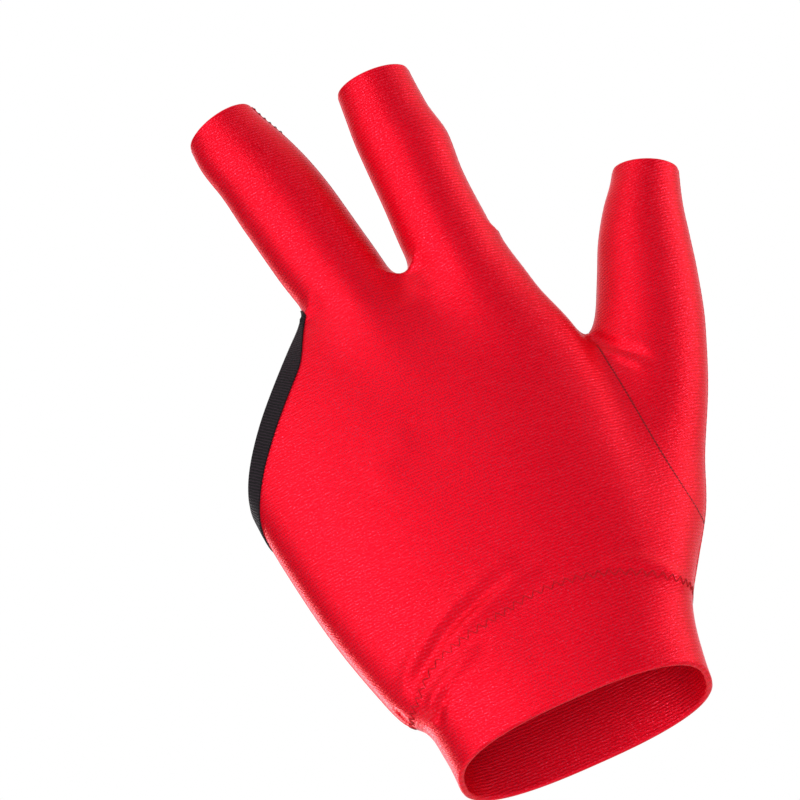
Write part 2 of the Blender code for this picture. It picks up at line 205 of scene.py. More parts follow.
# Folds as the photograph shows them: pixels along each, how far it stands proud, and how wide it is
FOLDS = [
    # the ridges and grooves where the back bulges over the cuff's seam
    ([(404, 694), (413, 664), (431, 637), (455, 607), (480, 585), (500, 570), (520, 561)], 1.5, 2.4),
    ([(410, 700), (415, 680), (427, 660), (445, 632), (465, 610), (490, 587), (510, 572)], -1.7, 1.8),
    ([(437, 652), (462, 627), (487, 605), (512, 587), (540, 570)], 0.95, 1.8),
    ([(492, 617), (520, 597), (545, 579), (570, 566), (600, 554), (640, 548)], -0.6, 2.2),
    ([(600, 563), (615, 560), (640, 561), (665, 570), (687, 585)], 0.9, 2.0),
    ([(393, 708), (402, 718), (415, 727)], -0.7, 1.5),
    # the soft ridge down the cuff's side
    ([(430, 716), (435, 697), (447, 680), (465, 660), (480, 648)], 1.1, 1.6),
    ([(437, 726), (441, 703), (453, 685)], -0.9, 1.4),
    # the web of the thumb
    ([(589, 335), (604, 342), (622, 348), (642, 355), (655, 361)], -0.9, 1.5),
    ([(606, 338), (622, 341), (640, 347), (655, 354)], 0.2, 3.0),
    ([(603, 348), (620, 354), (640, 362), (655, 371)], 0.2, 2.4),
    ([(608, 356), (622, 363), (640, 372)], -0.3, 1.6),
    # the web between the fingers
    ([(408, 276), (416, 284), (428, 296)], 0.5, 1.8),
    ([(400, 277), (402, 290), (405, 306)], -0.6, 2.6),
    # a tendon of the back
    ([(370, 492), (390, 455), (414, 428)], 0.6, 4.5),
]

# Stitches across a seam: from one to the next, how far each reaches to both sides, how far it stands proud,
# and its thread's radius
SIDE_PITCH = 1.9
SIDE_TICKS = (SIDE_PITCH, 0.34, 0.08, 0.07)
TIP_TICKS = (SIDE_PITCH, 0.8, 0.42, 0.13)
TIP_TICKS_LENGTH = 12.0
THUMB_TICKS = (0.95, 0.30, 0.05, 0.09)

# Zigzags along a seam: the length of one zig and zag, how far it reaches to both sides of its middle, how far
# that middle lies from the seam, and its thread's radius
CUFF_ZIGZAG = (2.6, 0.95, -1.3, 0.09)
BINDING_ZIGZAG = (3.0, 0.7, BINDING_WIDTH / 2, 0.09)
BINDING_ZIGZAG_INSET = 15.0

# Lips along a seam: how wide and how high to each side, and how much prouder the one at the middle finger's
# tip starts
SIDE_LIP = (0.28, 0.13)
TIP_LIP_PROUD = 1.8
# the thumb seam's flat dark stripe, painted shade of its groove: how wide and how high
THUMB_SHADE_LINE = (0.13, 0.04)
LIP_STEP = 0.3
LIP_PINCH = 0.22

# The studio: how bright its white walls are, and where they are darker, as the way, the cosines where the
# shade starts and is whole, and what it leaves
FILL = 0.90
SHADES = [
    # over the camera, a little to its right
    ((0.50, -0.68, 0.50), 0.84, 0.95, 0.05),
    # beside the fingers, to the left
    ((-0.88, 0.38, 0.25), 0.78, 0.96, 0.05),
]

# Lights, in metres: where each is, what it is aimed at, its width and height, its watts, and its spread
GLOVE_MIDDLE = (0.01, 0.0, 0.09)
LIGHTS = {
    "left_box": ((-0.60, -0.68, 0.25), GLOVE_MIDDLE, (0.45, 0.8), 3.8, math.pi),
    "right_box": ((0.70, 0.02, 0.12), GLOVE_MIDDLE, (0.3, 0.4), 1.1, math.pi),
    "low_left_box": ((-0.32, 0.42, 0.0), (-0.045, 0.0, 0.0), (0.12, 0.3), 0.035, 0.6),
}
FLOOR_SIZE = 6
FLOOR_HEIGHT = -0.45

# Where a border's point counts as on a seam, and the shortest run of points that counts as one
ON_SEAM = 0.05
SHORTEST_SEAM = 8

# The shares of the camera's distance between which a pixel's ray is searched, and how finely
RAY_SHARES = (0.9, 1.1, 400)

# Points round a shell's rounded edge, its two faces left out
RIM_TURNS = 4


def camera_axes():
    """The picture's right, its up and the way that the camera looks."""
    forward = np.array([0, math.cos(CAMERA_RISE), math.sin(CAMERA_RISE)])
    level = np.array([1.0, 0, 0])
    upright = np.array([0, -math.sin(CAMERA_RISE), math.cos(CAMERA_RISE)])
    right = math.cos(CAMERA_ROLL) * level - math.sin(CAMERA_ROLL) * upright
    up = math.sin(CAMERA_ROLL) * level + math.cos(CAMERA_ROLL) * upright
    return right, up, forward


def curve(heights, values, z):
    """A smooth curve through a table's column, without overshoot: Hermite pieces with limited slopes."""
    heights = np.asarray(heights, float)
    values = np.asarray(values, float)
    steps = np.diff(heights)
    rises = np.diff(values) / steps
    slopes = np.concatenate([rises[:1], (rises[:-1] + rises[1:]) / 2, rises[-1:]])
    turning = np.concatenate([[False], rises[:-1] * rises[1:] <= 0, [False]])
    slopes[turning] = 0
    z = np.clip(z, heights[0], heights[-1])
    i = np.clip(np.searchsorted(heights, z) - 1, 0, len(steps) - 1)
    t = (z - heights[i]) / steps[i]
    start = values[i] * (1 + 2 * t) * (1 - t) ** 2 + values[i + 1] * (3 - 2 * t) * t**2
    return start + steps[i] * t * (1 - t) * (slopes[i] * (1 - t) - slopes[i + 1] * t)


def palm_rows():
    """Centre, half width and half depth of the cuff and palm at each height."""
    rows = [
        (h * CUFF_HEIGHT, a * WRIST_WIDTH, b * WRIST_WIDTH, c * WRIST_DEPTH, d * WRIST_DEPTH)
        for h, a, b, c, d in CUFF_SECTIONS
    ]
    rows += [
        (
            CUFF_HEIGHT + h * (PALM_LENGTH - CUFF_HEIGHT),
            a * HAND_WIDTH,
            b * HAND_WIDTH,
            c * HAND_DEPTH,
            d * HAND_DEPTH,
        )
        for h, a, b, c, d in PALM_SECTIONS
    ]
    z, left, right, back, palm = np.array(rows).T
    return z, (left + right) / 2, (back + palm) / 2, (right - left) / 2, (palm - back) / 2


def sleeve_rows(sections, reach, width):
    """Centre, half width and half depth of a sleeve at each height."""
    z, x, y, wide, deep = np.array(sections).T
    return z * reach, x * HAND_WIDTH, y * HAND_DEPTH, wide * width / 2, deep * width / 2


PALM = palm_rows()
MIDDLE = sleeve_rows(MIDDLE_SECTIONS, MIDDLE_REACH, MIDDLE_WIDTH)
INDEX = sleeve_rows(INDEX_SECTIONS, INDEX_REACH, INDEX_WIDTH)
THUMB = sleeve_rows(THUMB_SECTIONS, THUMB_REACH, THUMB_WIDTH)
PALM_SQUARENESS = 2.5
SLEEVE_SQUARENESS = 2.0


def column(x, y, z, rows, power):
    """About how far each place lies outside a column of oval sections, and the height of its middle plane."""
    cx, cy, half_width, half_depth = (curve(rows[0], values, z) for values in rows[1:])
    across = np.abs((x - cx) / half_width)
    through = np.abs((y - cy) / half_depth)
    size = (across**power + through**power + 1e-9) ** (1 / power)
    ends = np.maximum(rows[0][0] - z, z - rows[0][-1])
    return np.maximum((size - 1) * np.sqrt(half_width * half_depth), ends), cy


def blend(a, b, width):
    """The smaller of two distances, rounded where they are alike."""
    h = np.clip(0.5 + 0.5 * (b - a) / width, 0, 1)
    return b * (1 - h) + a * h - width * h * (1 - h)


def hand_at(x, y, z):
    """About how far each place lies outside the gloved hand."""
    palm, _ = column(x, y, z, PALM, PALM_SQUARENESS)
    middle, index, thumb = (column(x, y, z, rows, SLEEVE_SQUARENESS)[0] for rows in (MIDDLE, INDEX, THUMB))
    fingers = blend(middle, index, WEB_BLEND)
    return blend(blend(palm, fingers, KNUCKLE_BLEND), thumb, THUMB_BLEND)


def hand(p):
    return hand_at(*p.T)


def slope(field, p, step=0.05):
    """The gradient of a field."""
    sides = np.eye(3) * step
    return np.stack([field(p + side) - field(p - side) for side in sides], axis=1) / (2 * step)


def outward(p, field=None):
    """The surface's unit normal at each point."""
    normal = slope(field or glove, p)
    return normal / np.linalg.norm(normal, axis=1, keepdims=True)


def settle(p, field, rounds=4):
    """Points moved onto the place where the field is zero."""
    for _ in range(rounds):
        normal = slope(field, p)
        p = p - normal * (field(p) / np.maximum((normal**2).sum(axis=1), 0.05))[:, None]
    return p


def on_hand(pixels):
    """The places on the hand's surface that pixels of the photograph show."""
    right, up, forward = camera_axes()
    pixels = np.array(pixels, float) - PICTURE_PIXELS / 2
    scale = PICTURE_WIDTH / PICTURE_PIXELS
    rays = forward * CAMERA_DISTANCE + scale * (pixels[:, :1] * right - pixels[:, 1:] * up)
    eye = np.array(CAMERA_TARGET) - forward * CAMERA_DISTANCE
    far = np.linspace(*RAY_SHARES)
    places = eye + rays[:, None] * far[:, None]
    values = hand(places.reshape(-1, 3)).reshape(len(rays), -1)
    hit = np.where((values < 0).any(axis=1), (values < 0).argmax(axis=1), values.argmin(axis=1))
    return settle(places[np.arange(len(rays)), hit], hand, 3)


def along_path(p, path):
    """How far each point lies from a path, and how far along it, as a share."""
    starts = path[:-1]
    steps = np.diff(path, axis=0)
    lengths = np.linalg.norm(steps, axis=1)
    nearest = np.full(len(p), np.inf)
    place = np.zeros(len(p))
    for i, (start, step, length) in enumerate(zip(starts, steps, lengths)):
        t = np.clip((p - start) @ step / length**2, 0, 1)
        apart = np.linalg.norm(p - start - t[:, None] * step, axis=1)
        closer = apart < nearest
        nearest[closer] = apart[closer]
        place[closer] = (lengths[:i].sum() + t[closer] * length) / lengths.sum()
    return nearest, place


FOLD_PATHS = [(on_hand(pixels), height, width) for pixels, height, width in FOLDS]


def relief(p):
    """How far the fabric's folds stand proud of the hand at each point."""
    total = np.zeros(len(p))
    for path, height, width in FOLD_PATHS:
        low = path.min(axis=0) - 3 * width
        high = path.max(axis=0) + 3 * width
        near = np.flatnonzero(((p > low) & (p < high)).all(axis=1))
        if len(near):
            apart, place = along_path(p[near], path)
            fade = np.clip(4 * place, 0, 1) * np.clip(4 * (1 - place), 0, 1)
            total[near] += height * fade * np.exp(-((apart / width) ** 2))
    return total


def glove(p):
    """About how far each point lies outside the glove with its folds."""
    return hand(p) - relief(p)


def surface(field_at, field, low, high, cell):
    """The field's zero surface as points and triangles, with a point in each grid cell that it crosses."""
    axes = [np.arange(a, b + c, c) for a, b, c in zip(low, high, cell)]
    shape = np.array([len(axis) for axis in axes])
    values = field_at(axes[0][:, None, None], axes[1][None, :, None], axes[2][None, None, :])
    quads = []
    crossings = []
    for axis in range(3):
        first = np.take(values, range(shape[axis] - 1), axis)
        second = np.take(values, range(1, shape[axis]), axis)
        at = np.argwhere((first < 0) != (second < 0))
        a = first[tuple(at.T)]
        b = second[tuple(at.T)]
        place = at.astype(float)
        place[:, axis] += a / (a - b)
        u = np.eye(3, dtype=int)[(axis + 1) % 3]
        v = np.eye(3, dtype=int)[(axis + 2) % 3]
        around = np.stack([at - u - v, at - v, at, at - u], axis=1)
        around[a >= 0] = around[a >= 0][:, ::-1]
        quads.append(around @ np.array([shape[1] * shape[2], shape[2], 1]))
        crossings.append(place)
    quads = np.concatenate(quads)
    crossings = np.concatenate(crossings)
    cells, index = np.unique(quads, return_inverse=True)
    index = index.reshape(-1, 4)
    count = np.bincount(index.ravel(), minlength=len(cells))
    points = np.stack(
        [np.bincount(index.ravel(), np.repeat(crossings[:, i], 4)) / count for i in range(3)], axis=1
    )
    points = settle(points * np.array(cell) + np.array(low), field)
    spans = [np.linalg.norm(points[index[:, i]] - points[index[:, i + 2]], axis=1) for i in (0, 1)]
    turned = np.where((spans[0] > spans[1])[:, None], np.roll(index, -1, axis=1), index)
    return points, np.concatenate([turned[:, [0, 1, 2]], turned[:, [0, 2, 3]]])


def edges_of(faces):
    return np.concatenate([faces[:, [0, 1]], faces[:, [1, 2]], faces[:, [2, 0]]])


def split(points, faces, level):
    """Cuts the triangles where the level is zero: the points, and the faces above it and below it."""
    values = level(points)
    used = np.unique(faces)
    ends = edges_of(faces)
    reach = np.full(len(points), np.inf)
    np.minimum.at(reach, ends[:, 0], np.abs(values[ends[:, 0]] - values[ends[:, 1]]) + 0.1)
    near = used[(np.abs(values[used]) < SNAP_SHARE * np.minimum(reach[used], min(CELL)))]
    if len(near):
        moved = points[near]
        for _ in range(3):
            normal = outward(moved)
            way = slope(level, moved)
            way -= normal * (way * normal).sum(axis=1, keepdims=True)
            moved = moved - way * (level(moved) / np.maximum((way**2).sum(axis=1), 0.05))[:, None]
            moved = settle(moved, glove, 1)
        close = np.linalg.norm(moved - points[near], axis=1) < SNAP_SHARE * min(CELL)
        points = points.copy()
        points[near[close]] = moved[close]
        values[near[close]] = 0
    made = {}
    added = []

    def crossing(a, b):
        key = (min(a, b), max(a, b))
        if key not in made:
            share = values[a] / (values[a] - values[b])
            made[key] = len(points) + len(added)
            added.append(points[a] + share * (points[b] - points[a]))
        return made[key]

    low_side = (values[faces] <= 0).all(axis=1)
    high_side = (values[faces] >= 0).all(axis=1) & ~low_side
    above = []
    below = []
    for face in faces[~low_side & ~high_side]:
        for keep, sign in ((above, 1), (below, -1)):
            ring = []
            for a, b in zip(face, np.roll(face, -1)):
                if sign * values[a] >= 0:
                    ring.append(a)
                if values[a] * values[b] < 0:
                    ring.append(crossing(a, b))
            keep.extend((ring[0], ring[i], ring[i + 1]) for i in range(1, len(ring) - 1))
    if added:
        points = np.concatenate([points, settle(np.array(added), glove, 2)])
    above = np.concatenate([faces[high_side], np.array(above, int).reshape(-1, 3)])
    below = np.concatenate([faces[low_side], np.array(below, int).reshape(-1, 3)])
    return points, above, below


def past_ends(p):
    """How far each point lies past the end of the sleeve that it is on."""
    past = np.full(len(p), -HAND_WIDTH)
    for (x, y), reach, facing, start, stop in SLEEVE_ENDS:
        end = np.array([x * HAND_WIDTH, y * HAND_DEPTH, reach])
        here = (p[:, 0] > start * HAND_WIDTH) & (p[:, 0] < stop * HAND_WIDTH)
        past[here] = (p[here] - end) @ (np.array(facing) / np.linalg.norm(facing))
    return past


def under_mouth(p):
    """How far each point lies below the cuff's mouth."""
    rise = MOUTH_SLOPE[0] * np.maximum(-p[:, 1], 0) - MOUTH_SLOPE[1] * np.maximum(p[:, 1], 0)
    return rise - p[:, 2]


def over_cuff_seam(p):
    """Height over the seam between the cuff and the hand."""
    x, height = np.array(CUFF_SEAM).T
    level = (height[0] + height[-1]) / 2
    backward = np.clip(0.5 - p[:, 1] / (0.3 * WRIST_DEPTH), 0, 1)
    rise = curve(x * WRIST_WIDTH, height - level, p[:, 0]) * backward**2 * (3 - 2 * backward)
    return p[:, 2] - (level + rise) * CUFF_HEIGHT


def opening_sides(p):
    """How far each point lies beyond the opening's edge, beside the middle finger, and below the edge's top."""
    top = np.array([OPENING_TOP[0] * HAND_WIDTH, OPENING_TOP[1] * PALM_LENGTH])
    side = np.array([OPENING_SIDE[0] * HAND_WIDTH, OPENING_SIDE[1] * PALM_LENGTH])
    along = (top - side) / np.linalg.norm(top - side)
    out = np.array([-along[1], along[0]])
    down = (top - p[:, [0, 2]]) @ along
    fall = OPENING_FALL * np.clip(down / np.linalg.norm(top - side), 0, 1)
    apart = (p[:, [0, 2]] - top) @ out + fall * p[:, 1]
    outside = (p[:, [0, 2]] - top) @ np.array([-MIDDLE_FACING[2], MIDDLE_FACING[0]])
    return apart, outside, down


def past_opening(p):
    apart, outside, _ = opening_sides(p)
    return np.minimum(apart, outside)


def in_binding(p):
    """How far each point lies inside the band that edges the opening."""
    apart, outside, down = opening_sides(p)
    share = np.clip(down / (BINDING_TAPER * BINDING_WIDTH), 0, 1)
    width = BINDING_END + (BINDING_WIDTH - BINDING_END) * share**2 * (3 - 2 * share)
    return np.minimum(np.minimum(apart, outside) + width, BINDING_WIDTH / 2 - apart)


def toward_palm(p):
    """How far each point lies on the palm's side of the glove's side seams."""
    parts = [column(*p.T, PALM, PALM_SQUARENESS)]
    parts += [column(*p.T, rows, SLEEVE_SQUARENESS) for rows in (MIDDLE, INDEX, THUMB)]
    nearness = np.array([np.exp(-np.clip(distance, -30, 30) / WEB_BLEND) for distance, _ in parts])
    middles = np.array([middle for _, middle in parts])
    return p[:, 1] - (nearness * middles).sum(axis=0) / nearness.sum(axis=0)


def toward_thumb(p):
    """How far each point lies on the thumb's side of the thumb's seam."""
    z, x = np.array(THUMB_SEAM).T
    return p[:, 0] - curve(z * PALM_LENGTH, x * HAND_WIDTH, p[:, 2])


def largest(faces):
    """The faces of the largest patch that hangs together along edges, with crumbs left out."""
    labels = np.arange(len(faces))
    ends = np.sort(edges_of(faces), axis=1)
    owner = np.tile(np.arange(len(faces)), 3)
    order = np.lexsort(ends.T)
    same = (np.diff(ends[order], axis=0) == 0).all(axis=1)
    first = owner[order][:-1][same]
    second = owner[order][1:][same]
    while True:
        lower = np.minimum(labels[first], labels[second])
        before = labels.copy()
        np.minimum.at(labels, first, lower)
        np.minimum.at(labels, second, lower)
        labels = labels[labels]
        if (labels == before).all():
            break
    return faces[labels == np.bincount(labels).argmax()]


def cut_out():
    """The glove's surface cut into its pieces: the points, and each piece's faces."""
    low = (-0.75 * HAND_WIDTH, -0.75 * WRIST_DEPTH, -0.6 * CUFF_HEIGHT)
    high = (1.10 * HAND_WIDTH, 1.2 * HAND_DEPTH, 1.08 * max(MIDDLE_REACH, INDEX_REACH, THUMB_REACH))
    points, faces = surface(hand_at, glove, low, high, CELL)
    for away, inset in ((past_ends, FABRIC / 2), (past_opening, FABRIC / 2), (under_mouth, CUFF_FABRIC / 2)):
        points, _, faces = split(points, faces, lambda p: away(p) + inset)
    points, rest, cuff = split(points, faces, over_cuff_seam)
    points, binding, rest = split(points, rest, in_binding)
    points, palm, back = split(points, rest, toward_palm)
    points, thumb, back = split(points, back, toward_thumb)
    pieces = {
        "back_panel": back,
        "thumb_panel": thumb,
        "palm_panel": palm,
        "cuff": cuff,
        "opening_binding": binding,
    }
    return points, {name: largest(piece) for name, piece in pieces.items()}


def borders(faces):
    """The edges round a patch, each once and in its face's direction."""
    ends = edges_of(faces).astype(np.int64)
    size = faces.max() + 1
    return ends[~np.isin(ends[:, 0] * size + ends[:, 1], ends[:, 1] * size + ends[:, 0])]


def seams_of(points, faces, level):
    """The runs of a patch's border where a level is zero, the longest first. A loop ends where it starts."""
    edges = borders(faces)
    on_level = np.abs(level(points)) < ON_SEAM
    following = dict(map(tuple, edges[on_level[edges].all(axis=1)].tolist()))
    starts = [a for a in following if a not in set(following.values())]
    runs = []
    while following:
        at = starts.pop() if starts else next(iter(following))
        run = [at]
        while run[-1] in following:
            run.append(following.pop(run[-1]))
        runs.append(run)
    return [guide(points[run]) for run in sorted(runs, key=len, reverse=True) if len(run) > SHORTEST_SEAM]


def resampled(path, step):
    """A path's points set evenly along it, smoothed over about two steps of the grid."""
    closed = np.allclose(path[0], path[-1])
    places = np.concatenate([[0], np.cumsum(np.linalg.norm(np.diff(path, axis=0), axis=1))])
    count = max(int(round(places[-1] / step)), 4)
    even = np.linspace(0, places[-1], count + 1)
    path = np.stack([np.interp(even, places, path[:, i]) for i in range(3)], axis=1)
    for _ in range(int(4 / step)):
        if closed:
            ring = path[:-1]
            ring = (np.roll(ring, 1, axis=0) + 2 * ring + np.roll(ring, -1, axis=0)) / 4
            path = np.concatenate([ring, ring[:1]])
        else:
            path[1:-1] = (path[:-2] + 2 * path[1:-1] + path[2:]) / 4
    return path


def guide(path, step=0.2):
    """A seam to sew along: its points on the glove, its normals, its sides and the length so far."""
    path = settle(resampled(path, step), glove, 2)
    tangent = np.gradient(path, axis=0)
    if np.allclose(path[0], path[-1], atol=1e-3):
        tangent[0] = tangent[-1] = path[1] - path[-2]
    tangent /= np.linalg.norm(tangent, axis=1, keepdims=True)
    normal = outward(path)
    side = np.cross(normal, tangent)
    side /= np.linalg.norm(side, axis=1, keepdims=True)
    length = np.concatenate([[0], np.cumsum(np.linalg.norm(np.diff(path, axis=0), axis=1))])
    return path, normal, side, length


def sewn(seam, along, across, above):
    """Points at lengths along a seam, set off sideways and outward."""
    path, normal, side, length = seam
    parts = [
        np.stack([np.interp(along, length, values[:, i]) for i in range(3)], axis=1)
        for values in (path, normal, side)
    ]
    points = parts[0] + parts[2] * np.asarray(across)[:, None]
    points = settle(points, glove, 2)
    return points + parts[1] * np.asarray(above)[:, None]


def tube(path, wide, high, normal, sides):
    """A thread's closed skin round a path, wide along the fabric and high across it."""
    tangent = np.gradient(path, axis=0)
    tangent /= np.maximum(np.linalg.norm(tangent, axis=1, keepdims=True), 1e-9)
    across = np.cross(normal, tangent)
    across /= np.maximum(np.linalg.norm(across, axis=1, keepdims=True), 1e-9)
    up = np.cross(tangent, across)
    turn = np.arange(sides) * 2 * math.pi / sides
    wide = np.broadcast_to(wide, len(path))[:, None, None]
    high = np.broadcast_to(high, len(path))[:, None, None]
    rings = (
        path[:, None]
        + wide * np.cos(turn)[:, None] * across[:, None]
        + high * np.sin(turn)[:, None] * up[:, None]
    )
    points = np.concatenate([rings.reshape(-1, 3), path[[0, -1]]])
    i, j = np.meshgrid(np.arange(len(path) - 1), np.arange(sides), indexing="ij")
    a = (i * sides + j).ravel()
    b = (i * sides + (j + 1) % sides).ravel()
    walls = np.concatenate([np.stack([a, b, b + sides], 1), np.stack([a, b + sides, a + sides], 1)])
    j = np.arange(sides)
    last = (len(path) - 1) * sides
    first_cap = np.stack([np.full(sides, len(points) - 2), (j + 1) % sides, j], 1)
    last_cap = np.stack([np.full(sides, len(points) - 1), last + j, last + (j + 1) % sides], 1)
    return points, np.concatenate([walls, first_cap, last_cap])


def joined(parts):
    """Several skins as one."""
    count = 0
    faces = []
    for points, triangles in parts:
        faces.append(triangles + count)
        count += len(points)
    return np.concatenate([points for points, _ in parts]), np.concatenate(faces)


def shell(points, faces, thickness, raised, open_ends):
    """A piece's wall: its points, faces and normals. Its open ends are rounded, its sewn edges flat."""
    used, index = np.unique(faces, return_inverse=True)
    faces = index.reshape(-1, 3)
    position = points[used]
    normal = outward(position)
    count = len(used)
    edge = borders(faces)
    middle = (normal[edge[:, 0]] + normal[edge[:, 1]]) / 2
    out = np.cross(position[edge[:, 1]] - position[edge[:, 0]], middle)
    out /= np.maximum(np.linalg.norm(out, axis=1, keepdims=True), 1e-9)
    pull = np.zeros_like(position)
    np.add.at(pull, edge[:, 0], out)
    np.add.at(pull, edge[:, 1], out)
    rim = np.unique(edge)
    pull = pull[rim] / np.maximum(np.linalg.norm(pull[rim], axis=1, keepdims=True), 1e-9)
    bulge = np.where(np.isin(used[rim], open_ends), thickness / 2, 0)[:, None]
    heart = position[rim] + normal[rim] * (raised - thickness / 2)
    rows = [position + normal * raised, position + normal * (raised - thickness)]
    normals = [normal, -normal]
    turns = np.linspace(0, math.pi, RIM_TURNS + 2)[1:-1]
    for turn in turns:
        lean = normal[rim] * math.cos(turn) + pull * math.sin(turn)
        rows.append(heart + normal[rim] * (math.cos(turn) * thickness / 2) + pull * bulge * math.sin(turn))
        normals.append(lean)
    numbers = np.zeros(count, int)
    numbers[rim] = np.arange(len(rim))
    loops = [edge] + [2 * count + k * len(rim) + numbers[edge] for k in range(len(turns))] + [edge + count]
    skin = [faces, faces[:, ::-1] + count]
    for first, second in zip(loops, loops[1:]):
        skin.append(np.stack([first[:, 1], first[:, 0], second[:, 0]], 1))
        skin.append(np.stack([first[:, 1], second[:, 0], second[:, 1]], 1))
    return np.concatenate(rows), np.concatenate(skin), np.concatenate(normals)


def add_piece(name, points, faces, material, normals=None, weave=None):
    """A mesh object of smooth faces, with its weave's coordinates as UVs in millimetres."""
    mesh = bpy.data.meshes.new(name)
    mesh.from_pydata((points * MM).tolist(), [], faces.tolist())
    mesh.polygons.foreach_set("use_smooth", np.ones(len(mesh.polygons), bool))
    if weave is not None:
        layer = mesh.uv_layers.new(name="weave")
        layer.data.foreach_set("uv", weave[faces.ravel()].astype(np.float32).ravel())
    mesh.update()
    if normals is not None:
        mesh.normals_split_custom_set_from_vertices(normals.tolist())
    piece = bpy.data.objects.new(name, mesh)
    bpy.context.scene.collection.objects.link(piece)
    mesh.materials.append(material)
    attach(piece, "root")
    return piece


class Nodes:
    """A material's node tree, with short ways to add and link nodes."""

    def __init__(self, name):
        self.material = bpy.data.materials.new(name)
        self.material.use_nodes = True
        self.tree = self.material.node_tree
        self.shader = self.tree.nodes["Principled BSDF"]

    def add(self, kind, **inputs):
        node = self.tree.nodes.new(kind)
        for name, value in inputs.items():
            if hasattr(node, name):
                setattr(node, name, value)
            else:
                self.feed(node.inputs[name.replace("_", " ")], value)
        return node

    def feed(self, socket, value):
        if isinstance(value, bpy.types.NodeSocket):
            self.tree.links.new(value, socket)
        else:
            socket.default_value = value

    def math(self, operation, a, b=0.0):
        node = self.tree.nodes.new("ShaderNodeMath")
        node.operation = operation
        self.feed(node.inputs[0], a)
        self.feed(node.inputs[1], b)
        return node.outputs[0]

    def mix(self, share, first, second):
        node = self.tree.nodes.new("ShaderNodeMix")
        node.data_type = "RGBA"
        self.feed(node.inputs["Factor"], share)
        self.feed(node.inputs["A"], first)
        self.feed(node.inputs["B"], second)
        return node.outputs["Result"]

    def spread(self, value, low, high, start=0.0, stop=1.0):
        node = self.tree.nodes.new("ShaderNodeMapRange")
        for socket, number in zip(node.inputs[:5], (value, low, high, start, stop)):
            self.feed(socket, number)
        return node.outputs[0]


def knit(name, dark, light, painted_glint, roughness, sheen, course=0.8, wale=0.5, bump=0.4):
    """A satin warp knit: rows of short floats, staggered from row to row, over a speckled ground that is
    lighter where the relief stands higher, with painted glints: pinkish specular sparkles mixed into the base
    colour.
    """
    nodes = Nodes(name)
    weave = nodes.add("ShaderNodeUVMap", uv_map="weave").outputs["UV"]
    parts = nodes.add("ShaderNodeSeparateXYZ", Vector=weave).outputs
    wander = nodes.add("ShaderNodeTexNoise", Vector=weave, Scale=0.35, Detail=2.0).outputs["Fac"]
    across = nodes.math("ADD", parts["X"], nodes.math("MULTIPLY", wander, 1.2))
    down = nodes.math("ADD", parts["Y"], nodes.math("MULTIPLY", wander, 0.8))
    rows = nodes.math("SINE", nodes.math("MULTIPLY", down, 2 * math.pi / course))
    slant = nodes.math("MULTIPLY", down, 9.0)
    floats = nodes.math("SINE", nodes.math("ADD", nodes.math("MULTIPLY", across, 2 * math.pi / wale), slant))
    stitch = nodes.math("ADD", nodes.math("MULTIPLY", rows, 0.6), nodes.math("MULTIPLY", floats, 0.4))
    fine = nodes.add("ShaderNodeTexNoise", Vector=weave, Scale=2.6, Detail=2.0, Roughness=0.7).outputs["Fac"]
    speck = nodes.spread(fine, 0.40, 0.62)
    # Painted glints: where the fine noise peaks, the base colour takes the glint colour, standing in for
    # specular sparkle
    bright = nodes.spread(nodes.math("ADD", fine, nodes.math("MULTIPLY", stitch, 0.06)), 0.54, 0.70)
    height = nodes.math("ADD", nodes.math("MULTIPLY", stitch, 0.8), nodes.math("MULTIPLY", speck, 0.8))
    broad = nodes.add("ShaderNodeTexNoise", Vector=weave, Scale=0.045, Detail=2.0).outputs["Fac"]
    share = nodes.spread(nodes.math("ADD", height, nodes.math("MULTIPLY", broad, 0.5)), 0.35, 1.45)
    ground = nodes.mix(share, dark, light)
    nodes.feed(nodes.shader.inputs["Base Color"], nodes.mix(bright, ground, painted_glint))
    gloss = nodes.spread(speck, 0, 1, roughness + 0.08, roughness - 0.08)
    nodes.feed(nodes.shader.inputs["Roughness"], gloss)
    nodes.feed(nodes.shader.inputs["Metallic"], nodes.spread(speck, 0, 1, 0.30, 0.62))
    nodes.shader.inputs["Specular IOR Level"].default_value = 0.25
    nodes.shader.inputs["Specular Tint"].default_value = (1.0, 0.3, 0.4, 1)
    nodes.shader.inputs["Sheen Weight"].default_value = sheen
    nodes.shader.inputs["Sheen Roughness"].default_value = 0.35
    nodes.shader.inputs["Sheen Tint"].default_value = (*light[:3], 1)
    bumps = nodes.add("ShaderNodeBump", Strength=bump, Distance=0.00012, Height=height)
    nodes.feed(nodes.shader.inputs["Normal"], bumps.outputs["Normal"])
    nodes.material.diffuse_color = light
    return nodes.material


def ribbon(name, dark, light):
    """An elastic ribbon with fine ribs across it."""
    nodes = Nodes(name)
    weave = nodes.add("ShaderNodeUVMap", uv_map="weave").outputs["UV"]
    parts = nodes.add("ShaderNodeSeparateXYZ", Vector=weave).outputs
    rib = nodes.math("SINE", nodes.math("MULTIPLY", parts["X"], 2 * math.pi / 0.75))
    fine = nodes.add("ShaderNodeTexNoise", Vector=weave, Scale=2.6, Detail=3.0).outputs["Fac"]
    height = nodes.math("ADD", nodes.math("MULTIPLY", rib, 0.5), fine)
    nodes.feed(nodes.shader.inputs["Base Color"], nodes.mix(nodes.spread(height, 0.0, 1.2), dark, light))
    nodes.shader.inputs["Roughness"].default_value = 0.65
    nodes.shader.inputs["Specular IOR Level"].default_value = 0.2
    nodes.shader.inputs["Sheen Weight"].default_value = 0.03
    bumps = nodes.add("ShaderNodeBump", Strength=0.9, Distance=0.0003, Height=height)
    nodes.feed(nodes.shader.inputs["Normal"], bumps.outputs["Normal"])
    nodes.material.diffuse_color = light
    return nodes.material


